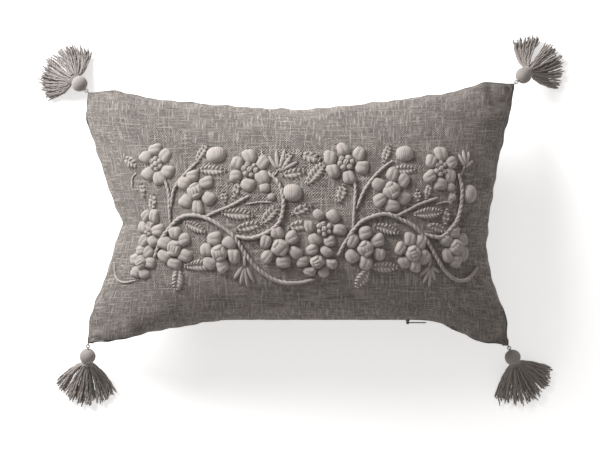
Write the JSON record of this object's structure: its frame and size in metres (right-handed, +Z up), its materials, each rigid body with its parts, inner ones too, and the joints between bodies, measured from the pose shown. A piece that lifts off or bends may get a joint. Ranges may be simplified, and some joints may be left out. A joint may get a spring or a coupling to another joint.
{
  "type": "throw pillow",
  "caption": "Lumbar throw pillow in heavy taupe cotton with raised tone-on-tone floral embroidery, bowed sides, a hidden zip in the lower seam and a tassel on each corner.",
  "frame": {"origin": "middle of the flat patch of the back that the pillow rests on", "axes": "+X along the long side, +Y across the pillow towards its upper edge, +Z up out of the embroidered front"},
  "size_m": [0.618, 0.4395, 0.1422],
  "materials": {
    "cover_cloth": "heavy slub cotton, matte",
    "casing_cloth": "plain cotton casing",
    "filling": "loose fibre",
    "zip_tape": "woven tape",
    "zip_coil": "moulded coil",
    "zip_metal": "enamelled, satin",
    "stitching_thread": "twisted thread",
    "tassel_thread": "close wound cotton thread",
    "tassel_yarn": "thick soft cotton yarn",
    "embroidery_thread": "padded satin stitch, faint sheen"
  },
  "bodies": {
    "pillow": {"front_panel": "cover_cloth", "back_panel": "cover_cloth", "insert_casing": "casing_cloth", "fibre_fill": "filling", "zipper_tape_front": "zip_tape", "zipper_tape_back": "zip_tape", "zipper_coil_front": "zip_coil", "zipper_coil_back": "zip_coil", "zipper_bottom_stop": "zip_metal", "zipper_top_stop": "zip_metal", "corner_staple_tl": "stitching_thread", "corner_staple_tr": "stitching_thread", "corner_staple_bl": "stitching_thread", "corner_staple_br": "stitching_thread", "embroidery_petals_left": "embroidery_thread", "embroidery_centres_left": "embroidery_thread", "embroidery_buds_left": "embroidery_thread", "embroidery_leaves_left": "embroidery_thread", "embroidery_stems_left": "embroidery_thread", "embroidery_sprigs_left": "embroidery_thread", "embroidery_petals_right": "embroidery_thread", "embroidery_centres_right": "embroidery_thread", "embroidery_buds_right": "embroidery_thread", "embroidery_leaves_right": "embroidery_thread", "embroidery_stems_right": "embroidery_thread", "embroidery_sprigs_right": "embroidery_thread"},
    "zip_slider": {"zipper_slider": "zip_metal"},
    "zip_pull": {"zipper_pull": "zip_metal"},
    "ring_tl": {"tassel_ring_tl": "stitching_thread"},
    "tassel_tl": {"tassel_loop_tl": "stitching_thread", "tassel_head_tl": "tassel_thread", "tassel_neck_tl": "tassel_thread", "tassel_skirt_tl": "tassel_yarn"},
    "ring_tr": {"tassel_ring_tr": "stitching_thread"},
    "tassel_tr": {"tassel_loop_tr": "stitching_thread", "tassel_head_tr": "tassel_thread", "tassel_neck_tr": "tassel_thread", "tassel_skirt_tr": "tassel_yarn"},
    "ring_bl": {"tassel_ring_bl": "stitching_thread"},
    "tassel_bl": {"tassel_loop_bl": "stitching_thread", "tassel_head_bl": "tassel_thread", "tassel_neck_bl": "tassel_thread", "tassel_skirt_bl": "tassel_yarn"},
    "ring_br": {"tassel_ring_br": "stitching_thread"},
    "tassel_br": {"tassel_loop_br": "stitching_thread", "tassel_head_br": "tassel_thread", "tassel_neck_br": "tassel_thread", "tassel_skirt_br": "tassel_yarn"}
  },
  "joints": [
    {"name": "zip_slide", "type": "slide", "parent": "pillow", "child": "zip_slider", "axis": [-1, 0, 0], "range_m": [0, 0.196]},
    {"name": "zip_pull_flip", "type": "hinge", "parent": "zip_slider", "child": "zip_pull", "pos_m": [0.123, -0.1221, 0.064], "axis": [0, 0, -1], "range_deg": [0, 170]},
    {"name": "tassel_swing_tl", "type": "hinge", "parent": "pillow", "child": "ring_tl", "pos_m": [-0.24769, 0.14519, 0.028], "axis": [0, 0, 1], "range_deg": [-50, 50]},
    {"name": "tassel_lift_tl", "type": "hinge", "parent": "ring_tl", "child": "tassel_tl", "pos_m": [-0.2496, 0.1471, 0.028], "axis": [0.7071, 0.7071, 0], "range_deg": [0, 90]},
    {"name": "tassel_swing_tr", "type": "hinge", "parent": "pillow", "child": "ring_tr", "pos_m": [0.2508, 0.15507, 0.028], "axis": [0, 0, 1], "range_deg": [-50, 50]},
    {"name": "tassel_lift_tr", "type": "hinge", "parent": "ring_tr", "child": "tassel_tr", "pos_m": [0.25281, 0.15688, 0.028], "axis": [0.6691, -0.7431, 0], "range_deg": [0, 90]},
    {"name": "tassel_swing_bl", "type": "hinge", "parent": "pillow", "child": "ring_bl", "pos_m": [-0.24622, -0.15049, 0.028], "axis": [0, 0, 1], "range_deg": [-50, 50]},
    {"name": "tassel_lift_bl", "type": "hinge", "parent": "ring_bl", "child": "tassel_bl", "pos_m": [-0.24641, -0.15319, 0.028], "axis": [-0.9976, 0.0698, 0], "range_deg": [0, 90]},
    {"name": "tassel_swing_br", "type": "hinge", "parent": "pillow", "child": "ring_br", "pos_m": [0.24266, -0.15267, 0.028], "axis": [0, 0, 1], "range_deg": [-50, 50]},
    {"name": "tassel_lift_br", "type": "hinge", "parent": "ring_br", "child": "tassel_br", "pos_m": [0.24367, -0.15518, 0.028], "axis": [-0.9272, -0.3746, 0], "range_deg": [0, 90]}
  ]
}
